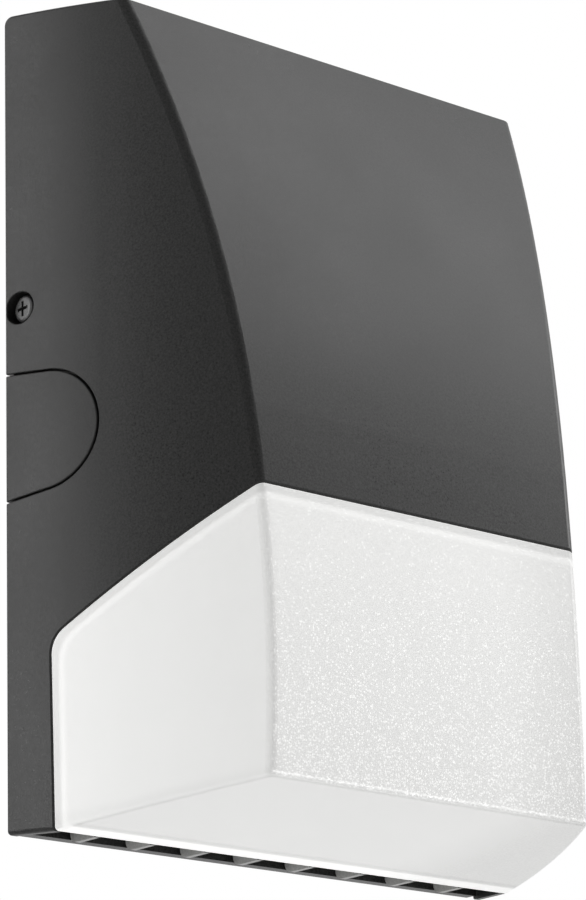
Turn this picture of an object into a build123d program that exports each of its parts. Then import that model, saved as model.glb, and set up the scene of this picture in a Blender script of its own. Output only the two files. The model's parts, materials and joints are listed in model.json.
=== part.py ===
from build123d import *

import os
from math import atan, cos, hypot, radians, sin, sqrt, tan

# Wall pack light: a die-cast housing that hangs on a wall plate, with a frosted lens that
# wraps round the front, the sides and the underside of its lower third.
#
# Millimetres. The origin lies on the wall plane at mid height, +Y points into the wall and
# +Z up, so the front faces -Y. "depth" is measured forward from the housing's rear rim and
# "height" up from its lower rear edge.

# ---------------------------------------------------------------- driving dimensions
HEIGHT = 240.0                 # housing, lower rear edge to upper rear edge
MID_HEIGHT = HEIGHT / 2
RIM_GAP = 1.5                  # rear rim stands this far off the wall
WALL = 2.8                     # casting wall
LENS_WALL = 2.5

REAR_HALF_WIDTH = 88.9         # plan curve of the side walls: rear, middle and front points
MIDDLE_DEPTH, MIDDLE_HALF_WIDTH = 37.6, 77.35
FULL_DEPTH, FRONT_HALF_WIDTH = 76.1, 58.4

DEEPEST_HEIGHT = 41.5          # side profile of the front: two tangent arcs
LOWER_FRONT_RADIUS = 614.0
ARC_JOIN_HEIGHT = 110.0
UPPER_FRONT_RADIUS = 465.0
ROOF_FALL = 0.109              # the roof drops towards the front, mm per mm
UNDER_JOIN_DEPTH, UNDER_REAR_DROP = 16.3, 0.9  # the underside dips, then curves up to the front
UNDER_MIDDLE_DEPTH, UNDER_MIDDLE_HEIGHT = 45.0, 2.4
UNDER_FRONT_HEIGHT = 6.6
RIDGE_RADIUS = 3.2             # between the front and the sides
ROOF_REAR_RADIUS = 2.6         # between the roof and the rear plane
UNDER_EDGE_RADIUS = 1.2        # round the underside
CRISP_EDGE_RADIUS = 0.8        # the roof's other edges and the rear rim

LENS_FRONT_HEIGHT = 87.3       # where the lens boundary meets the front face
LENS_SLOPE = radians(30.6)     # the boundary falls towards the wall at this angle
LENS_REAR_DEPTH = 15.2         # upright part of the boundary, at its upper end
LENS_REAR_DEPTH_LOW = 16.3     # and at the underside
LENS_CORNER_RADIUS = 8.0
SEAM = 0.35                    # gap between the lens and the casting
SEAM_EDGE_RADIUS = 0.35        # both lips of that gap
DECK = 3.0                     # casting wall that closes the optical chamber
FLANGE_WIDTH, FLANGE = 6.0, 2.4  # inward flange of the lens
SEAL_WIDTH, SEAL_DEPTH = 3.0, 1.5
SEAL_INSET = LENS_WALL + 1.5

FIN_COUNT, FIN_PITCH, FIN = 8, 19.45, 1.7
FIN_REAR_DEPTH, FIN_CORNER_RADIUS = 2.5, 2.6
FIN_LOW_HEIGHT = -0.4
DECK_LOW_HEIGHT = 1.5          # lower edge of the upright deck, hidden behind the lens rim
FLOOR_HEIGHT, FLOOR = 50.0, 2.5  # floor of the wiring chamber, above the fins

COVER_CENTRE_DEPTH, COVER_CENTRE_HEIGHT = 13.25, 112.2
COVER_RADIUS, COVER_FLARE = 17.5, atan(0.10)
COVER_GROOVE, COVER_LIP, COVER_LIP_WIDTH = 0.5, 2.0, 3.0
COVER_CLEARANCE = 0.3
COVER_EDGE_RADIUS = 0.35       # both lips of the groove round the cover

SCREW_DEPTH, SCREW_HEIGHT = 5.4, 149.8
COUNTERBORE_RADIUS, COUNTERBORE_DEPTH, COUNTERBORE_EDGE_RADIUS = 4.7, 3.6, 0.3
SCREW_RADIUS, HEAD_RADIUS, HEAD = 2.0, 3.9, 2.5
BOSS_RADIUS, BOSS_INNER_X = 6.6, 76.4

PLATE = 3.5                    # wall plate
PLATE_HALF_WIDTH, PLATE_TOP_Z = 72.0, 106.0
PLATE_FOOT_HALF_WIDTH, PLATE_FOOT_TOP_Z, PLATE_LOW_Z = 85.4, -92.0, -119.3
PLATE_CORNER_RADIUS, PLATE_FOOT_RADIUS = 4.0, 0.8
EAR_X, EAR, EAR_HALF_HEIGHT, EAR_FRONT_Y = 75.9, 2.4, 9.0, -13.0
NOTCH_RADIUS = 2.5
BOX_SCREW_SPACING = 88.9       # screws of a round outlet box
GANG_SCREW_SPACING = 83.3      # screws of a single-gang box
SLOT_LENGTH, SLOT_RADIUS = 14.0, 2.4
WIRE_HOLE_Z, WIRE_HOLE_RADIUS = -19.0, 12.0
CORNER_X, CORNER_Z, CORNER_HOLE_RADIUS = 55.0, 75.0, 2.5
GASKET_INNER, GASKET_OUTER, GASKET = 53.0, 59.0, 2.0
GROUND_X, GROUND_Z, GROUND_BOSS = 34.0, 62.0, 2.5   # ground screw on a boss of the plate

PIN_Y, PIN_Z, PIN_RADIUS = -4.0, 114.0, 1.5   # hanger pins, the axis of the tilt
HOOK_X, HOOK_WIDTH, PIN_LENGTH, LUG = 48.0, 12.0, 22.0, 4.0
RUNNING_GAP = 0.05

DRIVER_PLATE_Y, DRIVER_PLATE = -26.0, 1.2
POST_X, POST_LOW_Z, POST_HIGH_Z, POST_RADIUS = 53.5, -22.0, 46.0, 4.2
DRIVER_LENGTH, DRIVER_LOW_Z, DRIVER_HIGH_Z, DRIVER_DEPTH = 88.0, -16.0, 38.0, 25.0
LEAD_RADIUS, THIN_LEAD_RADIUS = 1.2, 0.9

BOARD_LENGTH, BOARD_WIDTH, BOARD, THERMAL_PAD = 106.0, 42.0, 1.6, 0.5
CHIP_COLUMNS, CHIP_ROWS, CHIP_PITCH, CHIP_SIZE, CHIP = 8, 3, 12.0, 3.0, 0.7
REFLECTOR = 0.8
GROMMET_X = 60.0
FAR = 140.0                    # larger than anything here, for cutting blocks


# ---------------------------------------------------------------- outer form
def y_at(depth):
    return -(RIM_GAP + depth)


def z_at(height):
    return height - MID_HEIGHT


def circle_through(p, q, r):
    """Centre and radius of the circle through three plane points."""
    (ax, ay), (bx, by), (cx, cy) = p, q, r
    twice_area = 2 * (ax * (by - cy) + bx * (cy - ay) + cx * (ay - by))
    a2, b2, c2 = ax * ax + ay * ay, bx * bx + by * by, cx * cx + cy * cy
    ux = (a2 * (by - cy) + b2 * (cy - ay) + c2 * (ay - by)) / twice_area
    uy = (a2 * (cx - bx) + b2 * (ax - cx) + c2 * (bx - ax)) / twice_area
    return (ux, uy), hypot(ax - ux, ay - uy)


SIDE_CENTRE, SIDE_RADIUS = circle_through(
    (REAR_HALF_WIDTH, 0),
    (MIDDLE_HALF_WIDTH, MIDDLE_DEPTH),
    (FRONT_HALF_WIDTH, FULL_DEPTH),
)
LOWER_CENTRE_DEPTH = FULL_DEPTH - LOWER_FRONT_RADIUS
JOIN_DEPTH = LOWER_CENTRE_DEPTH + sqrt(
    LOWER_FRONT_RADIUS**2 - (ARC_JOIN_HEIGHT - DEEPEST_HEIGHT) ** 2
)
CENTRE_SHIFT = UPPER_FRONT_RADIUS / LOWER_FRONT_RADIUS
UPPER_CENTRE_DEPTH = JOIN_DEPTH - CENTRE_SHIFT * (JOIN_DEPTH - LOWER_CENTRE_DEPTH)
UPPER_CENTRE_HEIGHT = ARC_JOIN_HEIGHT - CENTRE_SHIFT * (ARC_JOIN_HEIGHT - DEEPEST_HEIGHT)


def half_width(depth, inset=0.0):
    """Half width of the side curve at a depth, drawn in square to itself by inset."""
    rise = sqrt((SIDE_RADIUS - inset) ** 2 - (depth - SIDE_CENTRE[1]) ** 2)
    return SIDE_CENTRE[0] + rise


def front_depth(height, inset=0.0):
    """Depth of the front curve at a height, drawn in square to itself by inset."""
    if height < ARC_JOIN_HEIGHT:
        rise = sqrt((LOWER_FRONT_RADIUS - inset) ** 2 - (height - DEEPEST_HEIGHT) ** 2)
        return LOWER_CENTRE_DEPTH + rise
    rise = sqrt((UPPER_FRONT_RADIUS - inset) ** 2 - (height - UPPER_CENTRE_HEIGHT) ** 2)
    return UPPER_CENTRE_DEPTH + rise


def plan_prism(inset, rear):
    """Everything between the two side curves."""
    front = FULL_DEPTH + 6
    middle = (rear + front) / 2
    rights = [(half_width(d, inset), y_at(d)) for d in (rear, middle, front)]
    lefts = [(-x, y) for x, y in reversed(rights)]
    outline = [
        ThreePointArc(*rights),
        Line(rights[2], lefts[0]),
        ThreePointArc(*lefts),
        Line(lefts[2], rights[0]),
    ]
    return extrude(make_face(outline), amount=FAR, both=True)


def profile_prism(inset, rear):
    """Everything between the underside, the front curve and the roof."""
    roof_height = HEIGHT
    for _ in range(12):
        corner_depth = front_depth(roof_height, inset)
        roof_height = HEIGHT - inset - ROOF_FALL * corner_depth
    low_front = UNDER_FRONT_HEIGHT + inset

    def front_point(height):
        return (y_at(front_depth(height, inset)), z_at(height))

    under_join = (y_at(UNDER_JOIN_DEPTH), z_at(inset - UNDER_REAR_DROP))
    under_middle = (y_at(UNDER_MIDDLE_DEPTH), z_at(inset + UNDER_MIDDLE_HEIGHT))
    rear_low = (y_at(rear), z_at(inset))
    rear_high = (y_at(rear), z_at(HEIGHT - inset - ROOF_FALL * rear))
    join_depth = front_depth(ARC_JOIN_HEIGHT, inset)
    join = (y_at(join_depth), z_at(ARC_JOIN_HEIGHT))
    low_mid = (low_front + ARC_JOIN_HEIGHT) / 2
    high_mid = (ARC_JOIN_HEIGHT + roof_height) / 2
    outline = [
        Line(rear_low, under_join),
        ThreePointArc(under_join, under_middle, front_point(low_front)),
        ThreePointArc(front_point(low_front), front_point(low_mid), join),
        ThreePointArc(join, front_point(high_mid), front_point(roof_height)),
        Line(front_point(roof_height), rear_high),
        Line(rear_high, rear_low),
    ]
    return extrude(Plane.YZ * make_face(outline), amount=FAR, both=True)


def block(inset, rear=0.0):
    """The whole outer form, drawn in by inset, from a rear plane forward."""
    return plan_prism(inset, rear) & profile_prism(inset, rear)


ROOF_ZONE_Z, UNDER_ZONE_Z = z_at(HEIGHT) - 15, z_at(0) + 10
LONG_EDGE = 25.0


def outer_form():
    """The outer form with its edges softened. The last fillet runs on by itself along the
    smooth loop of the roof's sides, its front edge and the rear rim."""
    form = block(0.0)
    ridges = [e for e in form.edges() if forward(e) and spans(e, "Z") > LONG_EDGE]
    form = fillet(ridges, RIDGE_RADIUS)
    roof_rear = [e for e in form.edges() if not forward(e) and rises(e) > ROOF_ZONE_Z]
    form = fillet(roof_rear, ROOF_REAR_RADIUS)
    under = [e for e in form.edges() if forward(e) and rises(e) < UNDER_ZONE_Z]
    form = fillet([e for e in under if not on_under_join(e)], UNDER_EDGE_RADIUS)
    roof_sides = [e for e in form.edges() if rises(e) > ROOF_ZONE_Z and spans(e, "Y") > LONG_EDGE]
    return fillet(roof_sides, CRISP_EDGE_RADIUS)


def forward(edge):
    """True for an edge that doesn't lie in the rear plane."""
    return edge.center().Y < y_at(0) - 0.5


def rises(edge):
    """Height of the middle of an edge."""
    return edge.center().Z


def spans(edge, axis):
    """Extent of an edge along one axis."""
    return getattr(edge.bounding_box().size, axis)


def on_under_join(edge):
    """True for the smooth joint line across the underside."""
    at_join = abs(edge.center().Y - y_at(UNDER_JOIN_DEPTH)) < 0.5
    return at_join and spans(edge, "X") > REAR_HALF_WIDTH


def boundary_point(depth, grow=0.0):
    """Point on the sloping lens boundary, moved up and back by grow."""
    run = (FULL_DEPTH - 1.7 - depth) * tan(LENS_SLOPE)
    height = LENS_FRONT_HEIGHT - run + grow / cos(LENS_SLOPE)
    return (y_at(depth), z_at(height))


def lens_zone(grow):
    """Space below and in front of the lens boundary, grown towards the casting."""
    rear_top = LENS_REAR_DEPTH - grow
    rear_low = LENS_REAR_DEPTH_LOW - grow
    drop = 40.0
    corner = boundary_point(rear_top, grow)
    low = (y_at(rear_low + drop / HEIGHT), -MID_HEIGHT - drop)
    points = [
        boundary_point(FULL_DEPTH + 25, grow),
        corner,
        low,
        (y_at(FULL_DEPTH + 25), -MID_HEIGHT - drop),
    ]
    face = make_face(Polyline(*points, close=True))
    sharp = [v for v in face.vertices() if hypot(v.X - corner[0], v.Y - corner[1]) < 0.01]
    face = fillet(sharp, LENS_CORNER_RADIUS + grow)
    return extrude(Plane.YZ * face, amount=FAR, both=True)


# The sloping deck's own plane: x to the right, y towards the wall, z into the wiring chamber.
DECK_MIDDLE_DEPTH = 45.0
DECK_ORIGIN = boundary_point(DECK_MIDDLE_DEPTH)
DECK_PLANE = Plane(
    origin=(0, DECK_ORIGIN[0], DECK_ORIGIN[1]),
    x_dir=(1, 0, 0),
    z_dir=(0, sin(LENS_SLOPE), cos(LENS_SLOPE)),
)


def softened(form, cutter, radius):
    """Round the edges that a cutter left on the outer skin of a form."""
    outer_skin, cut_skin = OUTER.shells()[0], cutter.shells()[0]

    def on(skin, edge):
        points = [Vertex(*tuple(edge @ t)) for t in (0.2, 0.5, 0.8)]
        return all(skin.distance_to(point) < 0.01 for point in points)

    return fillet([e for e in form.edges() if on(outer_skin, e) and on(cut_skin, e)], radius)


def on_deck(x, along, up):
    """Location in the deck's plane."""
    return DECK_PLANE * Pos(x, along, up)


def deck_point(x, along, up):
    return tuple(on_deck(x, along, up).position)


# ---------------------------------------------------------------- small helpers
def slab(x_range, y_range, z_range):
    """Box between two corners."""
    size = [high - low for low, high in (x_range, y_range, z_range)]
    middle = [(high + low) / 2 for low, high in (x_range, y_range, z_range)]
    return Pos(*middle) * Box(*size)


def rod_x(radius, x_range, y, z):
    low, high = x_range
    return Pos((low + high) / 2, y, z) * (Rot(0, 90, 0) * Cylinder(radius, high - low))


def rod_y(radius, x, y_range, z):
    low, high = y_range
    return Pos(x, (low + high) / 2, z) * (Rot(90, 0, 0) * Cylinder(radius, high - low))


def slot_y(length, radius, x, z, turned):
    """Round-ended slot through the wall plate, along X, or along Z when turned."""
    straight = length / 2 - radius
    offsets = [(0, -straight), (0, straight)] if turned else [(-straight, 0), (straight, 0)]
    ends = [rod_y(radius, x + dx, (-PLATE - 1, 1), z + dz) for dx, dz in offsets]
    half_x, half_z = (radius, straight) if turned else (straight, radius)
    middle = slab((x - half_x, x + half_x), (-PLATE - 1, 1), (z - half_z, z + half_z))
    return ends[0] + ends[1] + middle


def pan_screw(shank_radius, length, head_radius, head):
    """Screw along +Z with its head's underside at z = 0, head up, cross recess in the head."""
    body = Pos(0, 0, -length / 2) * Cylinder(shank_radius, length)
    top = Pos(0, 0, head / 2) * Cylinder(head_radius, head)
    rim = top.edges().group_by(Axis.Z)[-1]
    top = fillet(rim, head * 0.4)
    arm, blade = head_radius * 1.15, head_radius * 0.26
    deep = head * 0.6
    cross = Box(arm, blade, deep) + Box(blade, arm, deep)
    return body + top - Pos(0, 0, head - deep / 2) * cross


def lead(points, radius, bends):
    """Insulated wire along straight runs joined by arcs."""
    path = FilletPolyline(*points, radius=bends)
    start = Plane(origin=path @ 0, z_dir=path % 0)
    return sweep(start * Circle(radius), path=path)


def mirrored(shape):
    return mirror(shape, about=Plane.YZ)


# ---------------------------------------------------------------- shared forms
OUTER = outer_form()
CAVITY = block(WALL, rear=-5.0)
SCREW_Y, SCREW_Z = y_at(SCREW_DEPTH), z_at(SCREW_HEIGHT)
SCREW_FACE_X = half_width(SCREW_DEPTH)
SEAT_X = SCREW_FACE_X - COUNTERBORE_DEPTH


def ring(inset, width):
    """Band that follows the outer form just inside it."""
    return block(inset) - block(inset + width, rear=-5.0)


def cover_prism(grow):
    """U-shaped conduit opening, open at the rear, through the left and right side walls."""
    radius = COVER_RADIUS + grow
    tangent_y = y_at(COVER_CENTRE_DEPTH + radius * sin(COVER_FLARE))
    tangent_z = radius * cos(COVER_FLARE)
    rear_y = 4.0
    rear_z = tangent_z + (rear_y - tangent_y) * tan(COVER_FLARE)
    centre_z = z_at(COVER_CENTRE_HEIGHT)
    tip = (y_at(COVER_CENTRE_DEPTH + radius), centre_z)
    outline = [
        Line((rear_y, centre_z - rear_z), (tangent_y, centre_z - tangent_z)),
        ThreePointArc((tangent_y, centre_z - tangent_z), tip, (tangent_y, centre_z + tangent_z)),
        Line((tangent_y, centre_z + tangent_z), (rear_y, centre_z + rear_z)),
        Line((rear_y, centre_z + rear_z), (rear_y, centre_z - rear_z)),
    ]
    return extrude(Plane.YZ * make_face(outline), amount=FAR, both=True)


# ---------------------------------------------------------------- wall side
def wall_plate():
    """Cast plate with box slots, wire hole, corner holes, hooks at the top and two ears."""
    plate = slab((-PLATE_HALF_WIDTH, PLATE_HALF_WIDTH), (-PLATE, 0), (PLATE_LOW_Z, PLATE_TOP_Z))
    foot_half = PLATE_FOOT_HALF_WIDTH
    plate += slab((-foot_half, foot_half), (-PLATE, 0), (PLATE_LOW_Z, PLATE_FOOT_TOP_Z))
    low_corners = [e for e in plate.edges().filter_by(Axis.Y) if rises(e) < PLATE_LOW_Z + 1]
    plate = fillet(low_corners, PLATE_FOOT_RADIUS)
    corners = [e for e in plate.edges().filter_by(Axis.Y) if rises(e) > PLATE_LOW_Z + 1]
    plate = fillet(corners, PLATE_CORNER_RADIUS)
    for side in (-1, 1):
        x_low, x_high = sorted((side * (PLATE_HALF_WIDTH - 10), side * EAR_X))
        plate += slab(
            (x_low, x_high),
            (-PLATE, 0),
            (SCREW_Z - EAR_HALF_HEIGHT, SCREW_Z + EAR_HALF_HEIGHT),
        )
        plate += wall_plate_ear(side)
        plate += hook(side * HOOK_X)
        plate -= slot_y(SLOT_LENGTH, SLOT_RADIUS, side * BOX_SCREW_SPACING / 2, 0, False)
        plate -= slot_y(SLOT_LENGTH, SLOT_RADIUS, 0, side * GANG_SCREW_SPACING / 2, True)
        for corner_z in (-CORNER_Z, CORNER_Z):
            plate -= rod_y(CORNER_HOLE_RADIUS, side * CORNER_X, (-PLATE - 1, 1), corner_z)
    plate -= rod_y(WIRE_HOLE_RADIUS, 0, (-PLATE - 1, 1), WIRE_HOLE_Z)
    plate -= gasket_ring(GASKET_INNER, GASKET_OUTER)
    plate += rod_y(4.5, GROUND_X, (-PLATE - GROUND_BOSS, -PLATE + 0.2), GROUND_Z)
    return plate - rod_y(SCREW_RADIUS, GROUND_X, (-PLATE - 3, 1), GROUND_Z)


def wall_plate_ear(side):
    """Upright ear with a notch, open to the front, that a side screw drops into."""
    x_low, x_high = sorted((side * (EAR_X - EAR), side * EAR_X))
    low, high = SCREW_Z - EAR_HALF_HEIGHT, SCREW_Z + EAR_HALF_HEIGHT
    ear = slab((x_low, x_high), (EAR_FRONT_Y, -PLATE + 0.5), (low, high))
    front = [e for e in ear.edges().filter_by(Axis.X) if e.center().Y < EAR_FRONT_Y + 0.1]
    ear = fillet(front, 3.0)
    mouth = slab(
        (x_low - 1, x_high + 1),
        (EAR_FRONT_Y - 1, SCREW_Y),
        (SCREW_Z - NOTCH_RADIUS, SCREW_Z + NOTCH_RADIUS),
    )
    return ear - mouth - rod_x(NOTCH_RADIUS, (x_low - 1, x_high + 1), SCREW_Y, SCREW_Z)


def hook(x):
    """Block on the plate's top edge with a groove, open upwards, that a hanger pin lies in."""
    half = HOOK_WIDTH / 2
    top = PIN_Z + 1.3
    post = slab((x - half, x + half), (PIN_Y - 3.6, 0), (PLATE_TOP_Z - 6, top))
    groove_radius = PIN_RADIUS + RUNNING_GAP
    span = (x - half - 1, x + half + 1)
    open_top = slab(span, (PIN_Y - groove_radius, PIN_Y + groove_radius), (PIN_Z, top + 1))
    return post - open_top - rod_x(groove_radius, span, PIN_Y, PIN_Z)


def gasket_ring(inner, outer):
    """Flat ring on the wall plane, round the outlet box."""
    return rod_y(outer, 0, (-GASKET, 0), 0) - rod_y(inner, 0, (-GASKET, 0), 0)


def wall_gasket():
    return gasket_ring(GASKET_INNER + 0.1, GASKET_OUTER - 0.1)


def screw_facing_room(x, seat_y, z, shank_radius, length, head_radius, head):
    """Screw driven towards the wall, its head's underside at seat_y."""
    place = Plane(origin=(x, seat_y, z), x_dir=(1, 0, 0), z_dir=(0, -1, 0))
    return place * pan_screw(shank_radius, length, head_radius, head)


def screw_facing_wall(x, seat_y, z, shank_radius, length, head_radius, head):
    """Screw driven away from the wall, its head's underside at seat_y."""
    place = Plane(origin=(x, seat_y, z), x_dir=(1, 0, 0), z_dir=(0, 1, 0))
    return place * pan_screw(shank_radius, length, head_radius, head)


def plate_ground_screw():
    length = PLATE + 1.5
    seat_y = -PLATE - GROUND_BOSS
    return screw_facing_room(
        GROUND_X, seat_y, GROUND_Z, SCREW_RADIUS - 0.02, length, HEAD_RADIUS, HEAD
    )


# ---------------------------------------------------------------- housing
def housing():
    """The casting: shell, deck, chamber floor, fins, screw bosses, hanger lugs and posts."""
    shell = cut_shell() - CAVITY
    low_cut = slab((-FAR, FAR), (-FAR, FAR), (-FAR, z_at(DECK_LOW_HEIGHT)))
    deck = (lens_zone(SEAM + DECK) - lens_zone(SEAM)) & block(WALL / 2) - low_cut
    floor_room = slab(
        (-FAR, FAR),
        (y_at(LENS_REAR_DEPTH), y_at(FIN_REAR_DEPTH)),
        (z_at(FLOOR_HEIGHT), z_at(FLOOR_HEIGHT + FLOOR)),
    )
    casting = shell - under_channel() + deck + (floor_room & block(WALL / 2))
    for number in range(FIN_COUNT):
        casting += fin((number - (FIN_COUNT - 1) / 2) * FIN_PITCH)
    casting += (screw_bosses() + hanger_lugs() + posts()) & block(0.6)
    casting -= lens_zone(SEAM)
    return casting - housing_cuts()


def cut_shell():
    """The outer form, solid, less the lens, the conduit openings and the counterbores."""
    zone = lens_zone(SEAM)
    form = softened(OUTER - zone, zone, SEAM_EDGE_RADIUS)
    opening = cover_prism(0.0) & slab((-FAR, FAR), (-45, FAR), (-FAR, FAR))
    form = softened(form - opening, opening, COVER_EDGE_RADIUS)
    right = rod_x(COUNTERBORE_RADIUS, (SEAT_X, FAR), SCREW_Y, SCREW_Z)
    for bore in (right, mirrored(right)):
        form = softened(form - bore, bore, COUNTERBORE_EDGE_RADIUS)
    return form


def under_channel():
    """The lower rear of the casting is open between the side walls, behind the lens."""
    low = slab((-FAR, FAR), (y_at(LENS_REAR_DEPTH_LOW + 1), 1), (-FAR, z_at(WALL + 2)))
    return plan_prism(WALL, -5.0) & low


def fin(x):
    """Upright rib behind the deck, its lower rear corner rounded."""
    profile = [
        (y_at(LENS_REAR_DEPTH_LOW - SEAM - DECK + 1.5), z_at(FIN_LOW_HEIGHT)),
        (y_at(FIN_REAR_DEPTH), z_at(FIN_LOW_HEIGHT)),
        (y_at(FIN_REAR_DEPTH), z_at(FLOOR_HEIGHT + 1)),
        (y_at(LENS_REAR_DEPTH - SEAM - DECK + 1.5), z_at(FLOOR_HEIGHT + 1)),
    ]
    face = make_face(Polyline(*profile, close=True))
    corner = profile[1]
    sharp = [v for v in face.vertices() if hypot(v.X - corner[0], v.Y - corner[1]) < 0.01]
    face = fillet(sharp, FIN_CORNER_RADIUS)
    return Pos(x, 0, 0) * extrude(Plane.YZ * face, amount=FIN / 2, both=True)


def screw_bosses():
    boss = rod_x(BOSS_RADIUS, (BOSS_INNER_X, REAR_HALF_WIDTH), SCREW_Y, SCREW_Z)
    return boss + mirrored(boss)


def hanger_lugs():
    """Pairs of lugs under the roof that hold the hanger pins beside each hook."""
    lugs = None
    for side in (-1, 1):
        for end in (-1, 1):
            x = side * HOOK_X + end * (PIN_LENGTH - LUG) / 2
            lug = slab(
                (x - LUG / 2, x + LUG / 2),
                (PIN_Y - 3.4, y_at(0)),
                (PIN_Z - 3.2, z_at(HEIGHT)),
            )
            lugs = lug if lugs is None else lugs + lug
    return lugs


def posts():
    """Four posts from the front wall that carry the driver plate."""
    rear = DRIVER_PLATE_Y - DRIVER_PLATE
    result = None
    for x in (-POST_X, POST_X):
        for z in (POST_LOW_Z, POST_HIGH_Z):
            post = rod_y(POST_RADIUS, x, (y_at(FULL_DEPTH), rear), z)
            result = post if result is None else result + post
    return result


def housing_cuts():
    """Counterbores, pin holes, screw holes, seal groove and the two conduit openings."""
    bore = rod_x(COUNTERBORE_RADIUS, (SEAT_X, FAR), SCREW_Y, SCREW_Z)
    bore += rod_x(SCREW_RADIUS + 0.25, (BOSS_INNER_X - 1, SEAT_X + 1), SCREW_Y, SCREW_Z)
    cuts = bore + mirrored(bore)
    for side in (-1, 1):
        low, high = side * HOOK_X - PIN_LENGTH / 2, side * HOOK_X + PIN_LENGTH / 2
        cuts += rod_x(PIN_RADIUS, (low, high), PIN_Y, PIN_Z)
    for x in (-POST_X, POST_X):
        for z in (POST_LOW_Z, POST_HIGH_Z):
            rear = DRIVER_PLATE_Y - DRIVER_PLATE
            cuts += rod_y(1.6, x, (rear - 9, rear + 1), z)
    cuts += (lens_zone(SEAM + SEAL_DEPTH) - lens_zone(0)) & ring(SEAL_INSET, SEAL_WIDTH)
    for x, along in LENS_SCREW_PLACES:
        cuts += on_deck(x, along, DECK / 2) * Cylinder(1.6, DECK * 3)
    for x, along in BOARD_SCREW_PLACES:
        cuts += on_deck(x, along, DECK / 2) * Cylinder(1.5, DECK * 2)
    for x in (-GROMMET_X, GROMMET_X):
        cuts += on_deck(x, 0, DECK / 2) * Cylinder(3.6, DECK * 3)
    rear_half = slab((-FAR, FAR), (-45, FAR), (-FAR, FAR))
    return cuts + (cover_prism(0.0) & rear_half)


def hanger_pins():
    pins = []
    for side in (-1, 1):
        low, high = side * HOOK_X - PIN_LENGTH / 2, side * HOOK_X + PIN_LENGTH / 2
        pins.append(rod_x(PIN_RADIUS, (low, high), PIN_Y, PIN_Z))
    return Compound(children=pins)


# ---------------------------------------------------------------- optical chamber
LENS_SCREW_PLACES = [(-70.0, 16.0), (70.0, 16.0), (-57.2, -19.0), (57.2, -19.0)]
BOARD_SCREW_PLACES = [(x, along) for x in (-49.0, 49.0) for along in (-16.0, 16.0)]
BOARD_UP = SEAM - THERMAL_PAD - BOARD        # lower face of the board, in the deck's plane
REFLECTOR_UP = BOARD_UP - REFLECTOR


def lens():
    """Shell flush with the casting, an inward flange and four screw bosses."""
    zone = lens_zone(0.0)
    skin = softened(OUTER & zone, zone, SEAM_EDGE_RADIUS)
    shell = skin - block(LENS_WALL, rear=-5.0)
    flange = (ring(LENS_WALL - 0.5, FLANGE_WIDTH + 0.5) & zone) - lens_zone(-FLANGE)
    body = shell + (flange & OUTER)
    for x, along in LENS_SCREW_PLACES:
        boss = on_deck(x, along, -5.0) * Cylinder(3.6, 10.0)
        body += boss & block(LENS_WALL / 2) & zone
    for x, along in LENS_SCREW_PLACES:
        body -= on_deck(x, along, -4.0) * Cylinder(1.5, 8.02)
    return body


def lens_gasket():
    """Silicone ring in the deck's groove, pressed by the lens flange."""
    band = ring(SEAL_INSET + 0.1, SEAL_WIDTH - 0.2)
    return (lens_zone(SEAM + SEAL_DEPTH - 0.05) - lens_zone(0.02)) & band


def lens_screws():
    top = SEAM + DECK
    return Compound(children=[
        on_deck(x, along, top) * pan_screw(1.48, top + 7.0, 2.8, 2.0)
        for x, along in LENS_SCREW_PLACES
    ])


def thermal_pad():
    return drilled_sheet(BOARD_LENGTH - 2, BOARD_WIDTH - 2, THERMAL_PAD, SEAM, 1.7)


def led_board():
    return drilled_sheet(BOARD_LENGTH, BOARD_WIDTH, BOARD, SEAM - THERMAL_PAD, 1.7)


def drilled_sheet(length, width, thickness, top, hole_radius):
    """Sheet under the deck with the four board screw holes."""
    sheet = on_deck(0, 0, top - thickness / 2) * Box(length, width, thickness)
    for x, along in BOARD_SCREW_PLACES:
        sheet -= on_deck(x, along, top) * Cylinder(hole_radius, 4 * thickness + 2)
    return sheet


def chip_places():
    for column in range(CHIP_COLUMNS):
        for row in range(CHIP_ROWS):
            x = (column - (CHIP_COLUMNS - 1) / 2) * CHIP_PITCH
            yield x, (row - (CHIP_ROWS - 1) / 2) * CHIP_PITCH


def led_chips():
    return Compound(children=[
        on_deck(x, along, BOARD_UP - CHIP / 2) * Box(CHIP_SIZE, CHIP_SIZE, CHIP)
        for x, along in chip_places()
    ])


def reflector():
    """White tray over the board and down the upright deck, with a slot for each chip row.

    Two side windows leave room for the vent on the left and the connector on the right.
    """
    sheet = (lens_zone(BOARD_UP) - lens_zone(REFLECTOR_UP)) & block(LENS_WALL + 12.5)
    row_length = CHIP_COLUMNS * CHIP_PITCH
    for row in range(CHIP_ROWS):
        along = (row - (CHIP_ROWS - 1) / 2) * CHIP_PITCH
        sheet -= on_deck(0, along, BOARD_UP) * Box(row_length - 7, CHIP_SIZE + 2, 6)
    for x, along in BOARD_SCREW_PLACES:
        sheet -= on_deck(x, along, BOARD_UP) * Cylinder(1.7, 6)
    for x_low, x_high in ((-67.0, -55.0), (46.5, 67.0)):
        window = Box(x_high - x_low, 10, 6)
        sheet -= on_deck((x_low + x_high) / 2, 0, BOARD_UP) * window
    return sheet


def board_screws():
    places = []
    for x, along in BOARD_SCREW_PLACES:
        under = Plane(
            origin=deck_point(x, along, REFLECTOR_UP),
            x_dir=(1, 0, 0),
            z_dir=(0, -sin(LENS_SLOPE), -cos(LENS_SLOPE)),
        )
        places.append(under * pan_screw(1.48, 5.0, 2.8, 1.8))
    return Compound(children=places)


CONNECTOR_X, CONNECTOR_LENGTH, CONNECTOR_WIDTH, CONNECTOR_TALL = 50.0, 6.0, 8.0, 4.4
LED_LEAD_SPREAD = 1.5


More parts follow.
